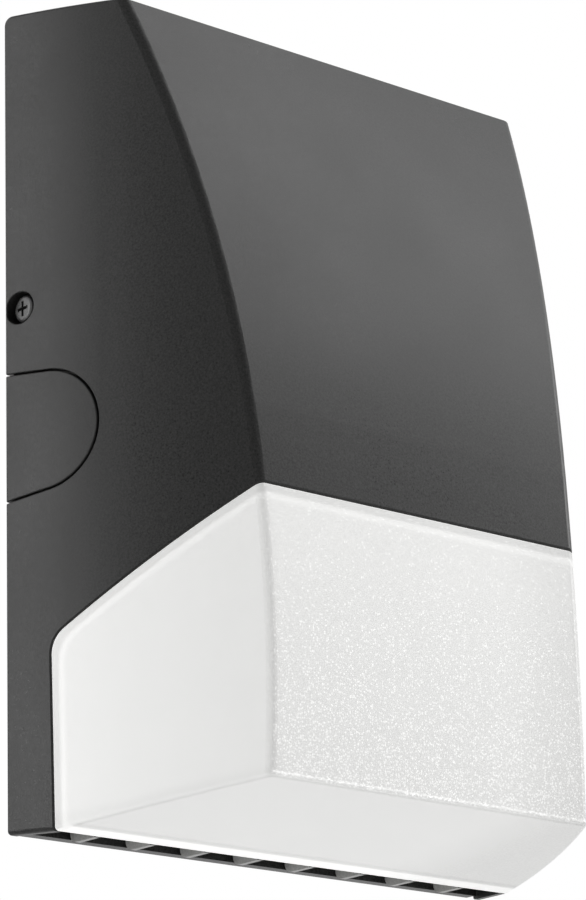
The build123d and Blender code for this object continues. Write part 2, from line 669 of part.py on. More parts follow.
def led_connector():
    middle = BOARD_UP - CONNECTOR_TALL / 2
    body = on_deck(CONNECTOR_X, 0, middle) * Box(CONNECTOR_LENGTH, CONNECTOR_WIDTH, CONNECTOR_TALL)
    latch = on_deck(CONNECTOR_X, 0, BOARD_UP - CONNECTOR_TALL - 0.4) * Box(3.0, 3.0, 0.8)
    return body + latch


def chamber_grommet():
    """Rubber bush round the two board leads where they pass the deck."""
    body = on_deck(GROMMET_X, 0, SEAM + DECK / 2) * Cylinder(3.55, DECK)
    body += on_deck(GROMMET_X, 0, SEAM + DECK + 0.8) * Cylinder(4.6, 1.6)
    body += on_deck(GROMMET_X, 0, SEAM - 0.6) * Cylinder(4.0, 1.2)
    for along in (-LED_LEAD_SPREAD, LED_LEAD_SPREAD):
        body -= on_deck(GROMMET_X, along, DECK / 2) * Cylinder(THIN_LEAD_RADIUS + 0.03, 20)
    return body


def breather_vent():
    """Membrane vent plug that lets the optical chamber breathe."""
    body = on_deck(-GROMMET_X, 0, SEAM + DECK / 2) * Cylinder(3.55, DECK)
    body += on_deck(-GROMMET_X, 0, SEAM + DECK + 1.2) * Cylinder(5.0, 2.4)
    body += on_deck(-GROMMET_X, 0, SEAM - 0.5) * Cylinder(3.9, 1.0)
    return body - on_deck(-GROMMET_X, 0, 0) * Cylinder(1.2, 5.0)


# ---------------------------------------------------------------- wiring chamber
POSTS = [(x, z) for x in (-POST_X, POST_X) for z in (POST_LOW_Z, POST_HIGH_Z)]
DRIVER_FACE_Y = DRIVER_PLATE_Y - DRIVER_PLATE
LEAD_ZS = [2.0, 8.0, 14.0]
LEAD_X, LEAD_FRONT_Y, LEAD_REAR_Y = -56.0, -41.0, -19.5
BLOCK_X = (-40.0, -16.0)
BLOCK_DEPTH = 13.0
DRIVER_END = DRIVER_LENGTH / 2
FOOT_HOLE_X, FOOT_HOLE_Z = DRIVER_END + 6.0, 30.0
GROUND_TERMINAL_X, GROUND_TERMINAL_Z = 54.0, 10.0
END_CAP, FOOT = 2.5, 1.5


def driver_plate():
    """Sheet steel carrier for the driver and the terminals."""
    plate = slab((-63, 63), (DRIVER_FACE_Y, DRIVER_PLATE_Y), (-29, 54))
    plate = fillet(plate.edges().filter_by(Axis.Y), 5.0)
    for x, z in POSTS:
        plate -= rod_y(2.1, x, (DRIVER_FACE_Y - 1, DRIVER_PLATE_Y + 1), z)
    through = (DRIVER_FACE_Y - 1, DRIVER_PLATE_Y + 1)
    for x in (-FOOT_HOLE_X, FOOT_HOLE_X):
        plate -= rod_y(1.5, x, through, FOOT_HOLE_Z)
    plate -= grommet_hole(3.0)
    return plate - rod_y(SCREW_RADIUS, GROUND_TERMINAL_X, through, GROUND_TERMINAL_Z)


def grommet_hole(radius, length=DRIVER_PLATE + 2):
    """Upright slot in the driver plate where the three supply leads pass."""
    low, high = LEAD_ZS[0], LEAD_ZS[-1]
    proud = (length - DRIVER_PLATE) / 2
    y_range = (DRIVER_FACE_Y - proud, DRIVER_PLATE_Y + proud)
    hole = rod_y(radius, LEAD_X, y_range, low) + rod_y(radius, LEAD_X, y_range, high)
    return hole + slab((LEAD_X - radius, LEAD_X + radius), y_range, (low, high))


def lead_grommet():
    """Rubber bush in that slot."""
    rims = grommet_hole(4.2, 4.2) - grommet_hole(4.3, DRIVER_PLATE)
    body = grommet_hole(2.95, DRIVER_PLATE) + rims
    for z in LEAD_ZS:
        body -= rod_y(LEAD_RADIUS + 0.03, LEAD_X, (DRIVER_FACE_Y - 5, DRIVER_PLATE_Y + 5), z)
    return body


def driver_plate_screws():
    return Compound(children=[
        screw_facing_wall(x, DRIVER_PLATE_Y, z, 1.58, 8.0, 3.4, 2.3) for x, z in POSTS
    ])


def driver_case():
    """Extruded case with a foot at each end."""
    case = slab(
        (-DRIVER_END, DRIVER_END),
        (DRIVER_FACE_Y - DRIVER_DEPTH, DRIVER_FACE_Y),
        (DRIVER_LOW_Z, DRIVER_HIGH_Z),
    )
    case = fillet(case.edges().filter_by(Axis.X), 2.0)
    for side in (-1, 1):
        x_low, x_high = sorted((side * (DRIVER_END - 1), side * (FOOT_HOLE_X + 4)))
        z_range = (FOOT_HOLE_Z - 6, FOOT_HOLE_Z + 6)
        foot = slab((x_low, x_high), (DRIVER_FACE_Y - FOOT, DRIVER_FACE_Y), z_range)
        hole = (DRIVER_FACE_Y - 2 * FOOT, DRIVER_FACE_Y + 1)
        case += foot - rod_y(1.7, side * FOOT_HOLE_X, hole, FOOT_HOLE_Z)
    return case


def driver_end_caps():
    """Moulded caps on the case's ends; the leads leave through them."""
    caps = []
    for side in (-1, 1):
        x_low, x_high = sorted((side * DRIVER_END, side * (DRIVER_END + END_CAP)))
        cap = slab(
            (x_low, x_high),
            (DRIVER_FACE_Y - DRIVER_DEPTH + 1, DRIVER_FACE_Y - 2),
            (DRIVER_LOW_Z + 1, DRIVER_HIGH_Z - 1),
        )
        caps.append(cap)
    return Compound(children=caps)


def driver_screws():
    return Compound(children=[
        screw_facing_room(x, DRIVER_FACE_Y - FOOT, FOOT_HOLE_Z, 1.48, 4.5, 2.9, 2.0)
        for x in (-FOOT_HOLE_X, FOOT_HOLE_X)
    ])


def surge_protector():
    body = slab((8, 38), (DRIVER_PLATE_Y, DRIVER_PLATE_Y + 13), (20, 46))
    return fillet(body.edges().group_by(Axis.Y)[-1], 2.0)


def terminal_block():
    """Three-pole block with a screw well over each clamp and a wire entry at both ends."""
    low, high = LEAD_ZS[0] - 4, LEAD_ZS[-1] + 4
    body = slab(BLOCK_X, (DRIVER_PLATE_Y, DRIVER_PLATE_Y + BLOCK_DEPTH), (low, high))
    for z in LEAD_ZS:
        for x in terminal_xs():
            body -= rod_y(2.0, x, (DRIVER_PLATE_Y + 8, DRIVER_PLATE_Y + BLOCK_DEPTH + 1), z)
        body -= rod_x(1.7, (BLOCK_X[1] - 6, BLOCK_X[1] + 1), LEAD_REAR_Y, z)
    return body


def terminal_xs():
    return [BLOCK_X[0] + 6, BLOCK_X[1] - 6]


def terminal_screws():
    top = DRIVER_PLATE_Y + BLOCK_DEPTH
    screws = []
    for z in LEAD_ZS:
        for x in terminal_xs():
            body = rod_y(1.9, x, (DRIVER_PLATE_Y + 8, top - 1.0), z)
            screws.append(body - slab((x - 1.9, x + 1.9), (top - 1.8, top), (z - 0.3, z + 0.3)))
    return Compound(children=screws)


def supply_lead(number):
    """Lead from the driver's left end, round through the driver plate to the terminals."""
    z = LEAD_ZS[number]
    points = [
        (-DRIVER_END - END_CAP, LEAD_FRONT_Y, z),
        (LEAD_X, LEAD_FRONT_Y, z),
        (LEAD_X, LEAD_REAR_Y, z),
        (BLOCK_X[0], LEAD_REAR_Y, z),
    ]
    return lead(points, LEAD_RADIUS, [4.0, 5.0])


LED_LEAD_Y, LED_LEAD_Z, CLIP_Z = -38.4, 4.0, -12.0


def led_lead(along):
    """Lead from the driver's right end, down through the deck to the board's connector."""
    entry = BOARD_UP - CONNECTOR_TALL / 2
    above = deck_point(GROMMET_X, along, 16.0)
    points = [
        (DRIVER_END + END_CAP, above[1], LED_LEAD_Z),
        (GROMMET_X, above[1], LED_LEAD_Z),
        above,
        deck_point(GROMMET_X, along, entry),
        deck_point(CONNECTOR_X + CONNECTOR_LENGTH / 2, along, entry),
    ]
    return lead(points, THIN_LEAD_RADIUS, [6.0, 14.0, 2.4])


def lead_clip():
    """Nylon clip on the driver plate that holds the two board leads."""
    ys = [deck_point(GROMMET_X, along, 16.0)[1] for along in (-LED_LEAD_SPREAD, LED_LEAD_SPREAD)]
    body = slab(
        (GROMMET_X - 2.4, GROMMET_X + 2.4), (min(ys) - 2.2, DRIVER_FACE_Y), (CLIP_Z - 3, CLIP_Z + 3)
    )
    for y in ys:
        body -= Pos(GROMMET_X, y, CLIP_Z) * Cylinder(THIN_LEAD_RADIUS + 0.03, 12)
    return body


def housing_ground_screw():
    return screw_facing_wall(
        GROUND_TERMINAL_X,
        DRIVER_PLATE_Y,
        GROUND_TERMINAL_Z,
        SCREW_RADIUS - 0.02,
        6.0,
        HEAD_RADIUS,
        HEAD,
    )


# ---------------------------------------------------------------- side screws and covers
def side_screw():
    """Cross-head screw in the right side wall."""
    place = Plane(origin=(SEAT_X, SCREW_Y, SCREW_Z), x_dir=(0, 1, 0), z_dir=(1, 0, 0))
    return place * pan_screw(SCREW_RADIUS, SEAT_X - 69.0, HEAD_RADIUS, HEAD)


def locking_nuts():
    """Bar nuts behind the plate's ears; the wall plate's face keeps them from turning."""
    outer = EAR_X - EAR - 0.3
    nut = slab((outer - 3.2, outer), (SCREW_Y - 3.0, SCREW_Y + 3.0), (SCREW_Z - 6, SCREW_Z + 6))
    nut -= rod_x(SCREW_RADIUS + RUNNING_GAP, (outer - 4, outer + 1), SCREW_Y, SCREW_Z)
    return Compound(children=[nut, mirrored(nut)])


def conduit_cover():
    """Cover of the right conduit opening: a pad flush with the wall and a lip behind it."""
    lip_inset = WALL + COVER_CLEARANCE
    back_inset = lip_inset + COVER_LIP
    right = slab((40, FAR), (-50, y_at(0)), (-FAR, FAR))
    outline = cover_prism(-COVER_GROOVE)
    pad = softened(OUTER & right & outline, outline, COVER_EDGE_RADIUS)
    pad -= block(back_inset, rear=-5.0)
    lip = (block(lip_inset) - block(back_inset, rear=-5.0)) & cover_prism(COVER_LIP_WIDTH) & right
    return pad + lip


# ---------------------------------------------------------------- write one file per piece
def main():
    right_screw = side_screw()
    right_cover = conduit_cover()
    pieces = {
        "wall_plate": wall_plate(),
        "wall_gasket": wall_gasket(),
        "plate_ground_screw": plate_ground_screw(),
        "housing": housing(),
        "hanger_pins": hanger_pins(),
        "lens": lens(),
        "lens_gasket": lens_gasket(),
        "lens_screws": lens_screws(),
        "thermal_pad": thermal_pad(),
        "led_board": led_board(),
        "led_chips": led_chips(),
        "board_screws": board_screws(),
        "reflector": reflector(),
        "led_connector": led_connector(),
        "chamber_grommet": chamber_grommet(),
        "breather_vent": breather_vent(),
        "driver_plate": driver_plate(),
        "driver_plate_screws": driver_plate_screws(),
        "driver_case": driver_case(),
        "driver_end_caps": driver_end_caps(),
        "driver_screws": driver_screws(),
        "surge_protector": surge_protector(),
        "terminal_block": terminal_block(),
        "terminal_screws": terminal_screws(),
        "lead_grommet": lead_grommet(),
        "line_lead": supply_lead(0),
        "neutral_lead": supply_lead(1),
        "ground_lead": supply_lead(2),
        "led_positive_lead": led_lead(-LED_LEAD_SPREAD),
        "led_negative_lead": led_lead(LED_LEAD_SPREAD),
        "lead_clip": lead_clip(),
        "housing_ground_screw": housing_ground_screw(),
        "locking_nuts": locking_nuts(),
        "right_side_screw": right_screw,
        "left_side_screw": mirrored(right_screw),
        "right_conduit_cover": right_cover,
        "left_conduit_cover": mirrored(right_cover),
    }
    os.makedirs("parts", exist_ok=True)
    for name, shape in pieces.items():
        export_step(shape, f"parts/{name}.step")


main()
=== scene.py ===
"""Looks of the wall pack light: finishes for its CAD pieces, the studio and the camera.
Metres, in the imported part's frame: the wall is the plane y = 0, +Y points into it, +Z up, and
the light faces -Y."""

import json
from math import cos, radians, sin, tan

import bpy
from mathutils import Matrix, Vector

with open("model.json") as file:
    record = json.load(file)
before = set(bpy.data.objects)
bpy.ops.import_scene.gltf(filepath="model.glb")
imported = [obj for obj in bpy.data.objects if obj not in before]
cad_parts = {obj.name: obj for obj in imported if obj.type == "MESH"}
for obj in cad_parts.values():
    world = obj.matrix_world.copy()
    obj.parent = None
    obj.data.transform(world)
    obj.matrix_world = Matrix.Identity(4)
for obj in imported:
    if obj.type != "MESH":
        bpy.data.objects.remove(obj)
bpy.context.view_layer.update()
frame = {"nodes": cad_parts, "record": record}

bl_info = {
    "name": "Wall pack light",
    "version": (1, 0, 0),
    "blender": (4, 5, 0),
    "location": "3D View > Sidebar > Wall pack light",
    "description": "Dresses the wall pack light's CAD pieces and lights them in a plain studio",
    "category": "Object",
}

MM = 0.001

# ---------------------------------------------------------------- sizes shared by the finishes
# "Depth" runs forward from the housing's rear rim and "height" up from its lower rear edge.
RIM_GAP = 1.5 * MM                    # rear rim of the housing off the wall
LOW_EDGE = -120.0 * MM                # lower rear edge of the housing
# The lens boundary: a sloping line in the side view, then a nearly upright one near the wall.
LENS_FRONT_DEPTH, LENS_FRONT_HEIGHT = 74.4 * MM, 87.3 * MM
LENS_SLOPE = radians(30.6)
LENS_REAR_DEPTH, LENS_REAR_LEAN = 15.2 * MM, 0.0137
LENS_CORNER_HEIGHT, LENS_CORNER_BLEND = 52.3 * MM, 7.3 * MM
FLANGE = 2.4 * MM                     # inner flange behind the lens's wall, the width of the painted dark band that stands for it
RIM_WIDTH = 5.6 * MM                  # painted highlight: a bright rim along the rear edge of the underside
# The lens's front face: half width at its waist, and how it widens away from there.
WAIST_HEIGHT, WAIST_HALF_WIDTH, WAIST_SPREAD = 41.5 * MM, 58.4 * MM, 0.52
UNDER_FRONT_HEIGHT, UNDER_RISE_DEPTH = 6.6 * MM, 76.1 * MM
# The rear fins, and the channel between the lens and the wall plate that they stand in.
FIN_PITCH, FIN_HALF_WIDTH = 19.45 * MM, 1.0 * MM
CHANNEL_HALF_WIDTH, CHANNEL_DEPTH, CHANNEL_TOP = 72 * MM, 14.5 * MM, 49 * MM

# ---------------------------------------------------------------- grain and glow
COAT_GRAIN, COAT_PEEL, COAT_CLOUD = 0.62 * MM, 1.9 * MM, 38 * MM
COAT_RELIEF, COAT_GLOSS = 0.035 * MM, 0.20
# painted light: the much lighter colour of the rear fins, standing in for the light that falls on
# them
FIN_PAINTED_LIGHT = (0.50, 0.50, 0.49)
LENS_GLOW, LENS_GLOSS = 0.56, 0.25
LENS_GRAIN, LENS_HAZE, LENS_RELIEF = 0.70 * MM, 16 * MM, 0.02 * MM
STIPPLE_CELL = 0.66 * MM              # one dot at the most in each cell
STIPPLE_LOW, STIPPLE_HIGH = 5 * MM, 84 * MM
STIPPLE_EDGE = 8.0 * MM               # height of the stipple's bright lower edge, a painted glint
LENS_DIM_FROM, LENS_DIM_TO = 24 * MM, 58 * MM  # painted shade: the lens's colour and glow fade towards the right end
FLOOR_GLOW, FLOOR_HALF = 0.65, 6.0


# ---------------------------------------------------------------- settings
class WallPackFinish(bpy.types.PropertyGroup):
    """Colours of the light's finishes."""

    coat: bpy.props.FloatVectorProperty(
        name="Powder coat",
        description="Charcoal powder coat on the housing, the covers and the wall plate",
        subtype="COLOR", size=3, min=0, max=1, default=(0.024, 0.024, 0.0235),
    )
    lens: bpy.props.FloatVectorProperty(
        name="Lens",
        description="Frosted white plastic of the lens",
        subtype="COLOR", size=3, min=0, max=1, default=(0.80, 0.80, 0.79),
    )


class WallPackStudio(bpy.types.PropertyGroup):
    """Camera and studio."""

    heading: bpy.props.FloatProperty(
        name="Heading", description="Where the camera looks, from +Y towards +X",
        subtype="ANGLE", default=radians(41.651),
    )
    pitch: bpy.props.FloatProperty(
        name="Pitch", description="How far the camera looks up",
        subtype="ANGLE", default=radians(17.152),
    )
    roll: bpy.props.FloatProperty(
        name="Roll", description="How far the camera leans to the right",
        subtype="ANGLE", default=radians(1.572),
    )
    distance: bpy.props.FloatProperty(
        name="Distance", description="From the camera to the point that it looks at",
        subtype="DISTANCE", default=1.1065,
    )
    aim: bpy.props.FloatVectorProperty(
        name="Aim", description="The point that the camera looks at",
        subtype="TRANSLATION", size=3, default=(0.01018, -0.01102, 0.00488),
    )
    lens: bpy.props.FloatProperty(
        name="Focal length", description="On a sensor 36 mm high, in millimetres", default=150.04,
    )
    floor: bpy.props.FloatProperty(
        name="Floor", description="Height of the floor",
        subtype="DISTANCE", default=-0.62,
    )


# ---------------------------------------------------------------- node material kit
class Finish:
    """A material under construction. Every method adds nodes and returns an output socket."""

    def __init__(self, name):
        self.material = bpy.data.materials.new(name)
        self.material.use_nodes = True
        self.tree = self.material.node_tree
        self.tree.nodes.clear()
        self.shader = self.node("ShaderNodeBsdfPrincipled")
        output = self.node("ShaderNodeOutputMaterial")
        self.tree.links.new(self.shader.outputs["BSDF"], output.inputs["Surface"])
        self.place = self.node("ShaderNodeTexCoord").outputs["Object"]

    def node(self, kind, **values):
        made = self.tree.nodes.new(kind)
        for key, value in values.items():
            setattr(made, key, value)
        return made

    def feed(self, socket, value):
        if isinstance(value, bpy.types.NodeSocket):
            self.tree.links.new(value, socket)
        else:
            socket.default_value = value

    def set(self, **values):
        """Values or links for the shader, by socket name with _ for a space."""
        for key, value in values.items():
            self.feed(self.shader.inputs[key.replace("_", " ")], value)

    def noise(self, size, detail=2.0, roughness=0.5, stretch=None):
        """Noise whose features are about size metres across, 0 to 1."""
        made = self.node("ShaderNodeTexNoise")
        made.inputs["Scale"].default_value = 1.0 / size
        made.inputs["Detail"].default_value = detail
        made.inputs["Roughness"].default_value = roughness
        where = self.place
        if stretch:
            turn = self.node("ShaderNodeMapping")
            turn.inputs["Scale"].default_value = stretch
            self.feed(turn.inputs["Vector"], where)
            where = turn.outputs["Vector"]
        self.feed(made.inputs["Vector"], where)
        return made.outputs["Fac"]

    def cells(self, size):
        """Voronoi cells about size metres across."""
        made = self.node("ShaderNodeTexVoronoi")
        made.inputs["Scale"].default_value = 1.0 / size
        self.feed(made.inputs["Vector"], self.place)
        return made

    def math(self, operation, a, b=0.0, c=None, clamp=False):
        made = self.node("ShaderNodeMath", operation=operation, use_clamp=clamp)
        self.feed(made.inputs[0], a)
        self.feed(made.inputs[1], b)
        if c is not None:
            self.feed(made.inputs[2], c)
        return made.outputs[0]

    def spread(self, value, low, high, to_low=0.0, to_high=1.0, soft=False):
        """value between low and high carried to between to_low and to_high, and held there."""
        made = self.node("ShaderNodeMapRange")
        made.interpolation_type = "SMOOTHSTEP" if soft else "LINEAR"
        for key, number in (("Value", value), ("From Min", low), ("From Max", high),
                            ("To Min", to_low), ("To Max", to_high)):
            self.feed(made.inputs[key], number)
        return made.outputs["Result"]

    def blend(self, share, first, second):
        """Colour that goes from first to second."""
        made = self.node("ShaderNodeMix", data_type="RGBA")
        for key, value in ((0, share), (6, first), (7, second)):
            if not isinstance(value, bpy.types.NodeSocket) and key > 0 and len(value) == 3:
                value = (*value, 1.0)
            self.feed(made.inputs[key], value)
        return made.outputs[2]

    def bell(self, value, middle, half):
        """1 where value is middle, falling softly to 0 at half away from it."""
        off = self.math("ABSOLUTE", self.math("SUBTRACT", value, middle))
        return self.spread(off, 0.0, half, 1.0, 0.0, soft=True)

    def total(self, first, *terms):
        """first plus every term, each a pair of socket and factor."""
        for socket, factor in terms:
            first = self.math("MULTIPLY_ADD", socket, factor, first)
        return first

    def tinted(self, colour, factor):
        """Colour times a factor that may pass 1."""
        made = self.node("ShaderNodeVectorMath", operation="SCALE")
        made.inputs[0].default_value = colour
        self.feed(made.inputs["Scale"], factor)
        return made.outputs["Vector"]

    def part(self, axis):
        """One coordinate of the object's place, in metres."""
        made = self.node("ShaderNodeSeparateXYZ")
        self.feed(made.inputs[0], self.place)
        return made.outputs[axis]

    def facing(self, axis):
        """One coordinate of the surface's own normal."""
        made = self.node("ShaderNodeSeparateXYZ")
        self.feed(made.inputs[0], self.node("ShaderNodeTexCoord").outputs["Normal"])
        return made.outputs[axis]

    def bump(self, height, distance, strength):
        """Relief: height 0 to 1 stands for distance metres."""
        made = self.node("ShaderNodeBump")
        made.inputs["Strength"].default_value = strength
        made.inputs["Distance"].default_value = distance
        self.feed(made.inputs["Height"], height)
        return made.outputs["Normal"]


def shade(colour, factor):
    return tuple(min(1.0, part * factor) for part in colour)


# ---------------------------------------------------------------- finishes
def fin_mask(coat):
    """1 on the rear fins, which stand at odd multiples of half their pitch."""
    across = coat.math("MULTIPLY_ADD", coat.part("X"), 1 / FIN_PITCH, 1.0)
    off = coat.math("ABSOLUTE", coat.math("SUBTRACT", coat.math("FRACT", across), 0.5))
    fin = coat.math("LESS_THAN", off, FIN_HALF_WIDTH / FIN_PITCH)
    for value, limit in ((coat.math("ABSOLUTE", coat.part("X")), CHANNEL_HALF_WIDTH),
                         (coat.math("MULTIPLY", coat.part("Y"), -1.0), CHANNEL_DEPTH),
                         (coat.part("Z"), LOW_EDGE + CHANNEL_TOP)):
        fin = coat.math("MULTIPLY", fin, coat.math("LESS_THAN", value, limit))
    return fin


def powder_coat(name, colour, fin_light=None):
    """Fine-texture matt powder coat: an orange-peel relief, and grains lighter and darker.
    On the rear fins the colour is lighter: painted light that stands in for the light falling on
    them."""
    coat = Finish(name)
    grain = coat.noise(COAT_GRAIN, detail=2.0, roughness=0.8)
    peel = coat.noise(COAT_PEEL, detail=1.5)
    cloud = coat.noise(COAT_CLOUD, detail=2.0)
    tone = coat.blend(coat.spread(grain, 0.3, 0.7), shade(colour, 0.25), shade(colour, 1.75))
    tone = coat.blend(coat.spread(cloud, 0.3, 0.7, 0.0, 0.2), tone, shade(colour, 0.88))
    # Painted light: the fins get a lighter colour that stands in for the light falling on them.
    if fin_light:
        lit_fins = coat.blend(coat.spread(grain, 0.3, 0.7), shade(fin_light, 0.85), shade(fin_light, 1.15))
        tone = coat.blend(fin_mask(coat), tone, lit_fins)
    rough = coat.math("ADD", coat.spread(grain, 0.3, 0.7, 0.28, 0.42),
                      coat.spread(cloud, 0.3, 0.7, -0.02, 0.02))
    relief = coat.math("MULTIPLY_ADD", grain, 0.6, coat.math("MULTIPLY", peel, 0.4))
    coat.set(Base_Color=tone, Roughness=rough, Normal=coat.bump(relief, COAT_RELIEF, 0.45))
    coat.set(Specular_IOR_Level=COAT_GLOSS)
    return coat.material


def boundary_gap(lens, depth, height):
    """Distance from the lens boundary into the lens, its inner corner rounded."""
    line = lens.math("MULTIPLY_ADD", depth, tan(LENS_SLOPE),
                     LENS_FRONT_HEIGHT - LENS_FRONT_DEPTH * tan(LENS_SLOPE))
    sloping = lens.math("MULTIPLY", lens.math("SUBTRACT", line, height), cos(LENS_SLOPE))
    rear = lens.math("MULTIPLY_ADD", height, -LENS_REAR_LEAN,
                     LENS_REAR_DEPTH + LENS_CORNER_HEIGHT * LENS_REAR_LEAN)
    upright = lens.math("SUBTRACT", depth, rear)
    return lens.math("SMOOTH_MIN", sloping, upright, LENS_CORNER_BLEND)


def frosted_lens(name, colour):
    """Frosted white plastic with a soft glow, which is painted light in the colour and the emission.
    Along the boundary a painted dark band and a painted bright stripe below it stand for the inner
    flange behind the wall, and the inner corners get soft bands of painted shade. The front face's
    inside is stippled, more densely towards the bottom, down to a bright edge; the dots and the edge
    are drawn bright as painted glints."""
    lens = Finish(name)
    across = lens.math("ABSOLUTE", lens.part("X"))
    depth = lens.math("MULTIPLY_ADD", lens.part("Y"), -1.0, -RIM_GAP)
    height = lens.math("SUBTRACT", lens.part("Z"), LOW_EDGE)
    gap = boundary_gap(lens, depth, height)
    under = lens.spread(lens.facing("Z"), -0.75, -0.55, 1.0, 0.0, soft=True)
    front = lens.spread(lens.facing("Y"), -0.93, -0.86, 1.0, 0.0, soft=True)
    beside = lens.math("SUBTRACT", 1.0, lens.math("MAXIMUM", under, front), clamp=True)

    # Painted shade and light along the boundary: a darker band where the inner flange lies behind the
    # wall, a bright stripe below it, and a painted highlight on the rounded lip of the seam.
    flange = lens.spread(gap, FLANGE - 0.5 * MM, FLANGE + 0.4 * MM, 1.0, 0.0, soft=True)
    stripe = lens.bell(gap, 3.4 * MM, 1.5 * MM)
    lip_highlight = lens.bell(gap, 0.0, 0.45 * MM)
    seam_light_and_shade = lens.total(0.0, (flange, -0.11), (stripe, 0.10), (lip_highlight, 0.25))
    # Painted highlight: a bright rim along the rear edge of the underside, then a line of painted
    # shade beyond it.
    rim = lens.spread(gap, RIM_WIDTH - 0.6 * MM, RIM_WIDTH, 0.30, 0.0, soft=True)
    rim = lens.total(rim, (lens.bell(gap, RIM_WIDTH + 1.6 * MM, 1.8 * MM), -0.08))
    # Painted shade: a soft dark band on the front face along the ridge, and another on the sides just
    # above the underside.
    waist = lens.math("POWER", lens.math("SUBTRACT", height, WAIST_HEIGHT), 2.0)
    ridge = lens.math("SUBTRACT", lens.total(WAIST_HALF_WIDTH, (waist, WAIST_SPREAD)), across)
    fold_shade = lens.math("MULTIPLY", front, lens.bell(ridge, 1.6 * MM, 2.6 * MM))
    rise = lens.math("POWER", lens.math("DIVIDE", depth, UNDER_RISE_DEPTH), 2.0)
    above = lens.math("SUBTRACT", height, lens.math("MULTIPLY", rise, UNDER_FRONT_HEIGHT))
    crease_shade = lens.math("MULTIPLY", beside, lens.bell(above, 1.8 * MM, 2.6 * MM))

    fine = lens.noise(LENS_GRAIN, detail=2.0, roughness=0.75)
    haze = lens.noise(LENS_HAZE, detail=2.0)
    # The stipple is the front face's own pattern; its bright dots and its bright jagged lower edge
    # are painted glints.
    cell = lens.cells(STIPPLE_CELL)
    pick = lens.node("ShaderNodeSeparateColor")
    lens.feed(pick.inputs[0], cell.outputs["Color"])
    low = lens.math("POWER", lens.spread(height, STIPPLE_LOW, STIPPLE_HIGH, 1.0, 0.0), 1.7)
    share = lens.math("MULTIPLY_ADD", low, 0.70, 0.08)
    dot = lens.spread(cell.outputs["Distance"], 0.28, 0.50, 1.0, 0.0)
    chosen = lens.math("LESS_THAN", pick.outputs[0], share)
    dot = lens.math("MULTIPLY_ADD", dot, chosen, lens.math("MULTIPLY", share, -0.35))
    stipple = lens.math("MULTIPLY", dot, front)
    jag = lens.math("MULTIPLY_ADD", lens.noise(0.9 * MM, detail=2.0), 1.6 * MM, -0.8 * MM)
    edge = lens.bell(lens.math("ADD", height, jag), STIPPLE_EDGE, 0.48 * MM)
    edge = lens.math("MULTIPLY", edge, lens.spread(lens.noise(1.0 * MM), 0.35, 0.6, 0.6, 1.0))
    edge = lens.math("MULTIPLY", edge, front)
    # Painted shade: the lens is darker towards its right end, and darker still along the ridge there,
    # but not on the underside.
    right_end_shade = lens.spread(lens.part("X"), LENS_DIM_FROM, LENS_DIM_TO, 0.0, 1.0, soft=True)
    brink_shade = lens.math("MULTIPLY", right_end_shade, lens.bell(ridge, 0.0, 2.4 * MM))
    brink_shade = lens.math("MULTIPLY", brink_shade, lens.math("SUBTRACT", 1.0, under))

    # The glow sums painted light and painted shade: the seam and rim marks, a darker underside, dark
    # bands at the fold and crease, a darker right end, and painted glints in the stipple. The fine
    # grain and haze are the plastic's own tone.
    glow = lens.total(
        1.0,
        (lens.math("MULTIPLY", seam_light_and_shade, lens.math("SUBTRACT", 1.0, under)), 1.0),
        (lens.math("MULTIPLY", rim, under), 1.0),
        (under, -0.165), (fold_shade, -0.035), (crease_shade, -0.05), (right_end_shade, -0.11), (brink_shade, -0.16),
        (lens.math("SUBTRACT", fine, 0.5), 0.22), (lens.math("SUBTRACT", haze, 0.5), 0.03),
        (stipple, 0.30), (edge, 0.30),
    )
    # Painted light: the glow sets both the colour and an emission, which stands in for light
    # scattered through the frosted plastic.
    lens.set(Base_Color=lens.tinted(colour, glow), Emission_Color=lens.tinted(colour, glow))
    rough = lens.spread(fine, 0.3, 0.7, 0.34, 0.44)
    lens.set(Roughness=rough, Normal=lens.bump(fine, LENS_RELIEF, 0.3))
    lens.set(Emission_Strength=LENS_GLOW, Specular_IOR_Level=LENS_GLOSS)
    return lens.material


def plain_metal(name, colour, rough=0.35, grain=0.4 * MM, stretch=None, metallic=1.0):
    """Metal with fine drawn or tumbled marks and slightly uneven gloss."""
    metal = Finish(name)
    marks = metal.noise(grain, detail=3.0, stretch=stretch)
    cloud = metal.noise(6 * MM, detail=2.0)
    tone = metal.blend(metal.spread(marks, 0.3, 0.7), shade(colour, 0.9), shade(colour, 1.08))
    roughness = metal.math("ADD", metal.spread(marks, 0.3, 0.7, rough - 0.07, rough + 0.07),
                           metal.spread(cloud, 0.3, 0.7, -0.05, 0.05))
    metal.set(Base_Color=tone, Roughness=roughness, Metallic=metallic)
    metal.set(Normal=metal.bump(marks, 0.01 * MM, 0.3))
    return metal.material


def moulded(name, colour, rough=0.5, grain=0.5 * MM, relief=0.02 * MM):
    """Moulded plastic, rubber or silicone with a spark-eroded grain and faint flow marks."""
    plastic = Finish(name)
    marks = plastic.noise(grain, detail=2.5, roughness=0.6)
    flow = plastic.noise(9 * MM, detail=1.5)
    tone = plastic.blend(plastic.spread(flow, 0.3, 0.7), shade(colour, 0.93), shade(colour, 1.05))
    roughness = plastic.spread(marks, 0.3, 0.7, rough - 0.06, rough + 0.06)
    plastic.set(Base_Color=tone, Roughness=roughness)
    plastic.set(Normal=plastic.bump(marks, relief, 0.4))
    return plastic.material


def foam(name, colour):
    """Closed-cell foam: small pits, their bottoms darker with painted shade."""
    sponge = Finish(name)
    pits = sponge.cells(0.9 * MM).outputs["Distance"]
    depth = sponge.spread(pits, 0.0, 0.6)
    # Painted shade: the pits are darker towards their bottoms.
    sponge.set(Base_Color=sponge.blend(depth, shade(colour, 0.5), shade(colour, 1.3)))
    sponge.set(Roughness=0.9, Normal=sponge.bump(depth, 0.15 * MM, 0.7))
    return sponge.material


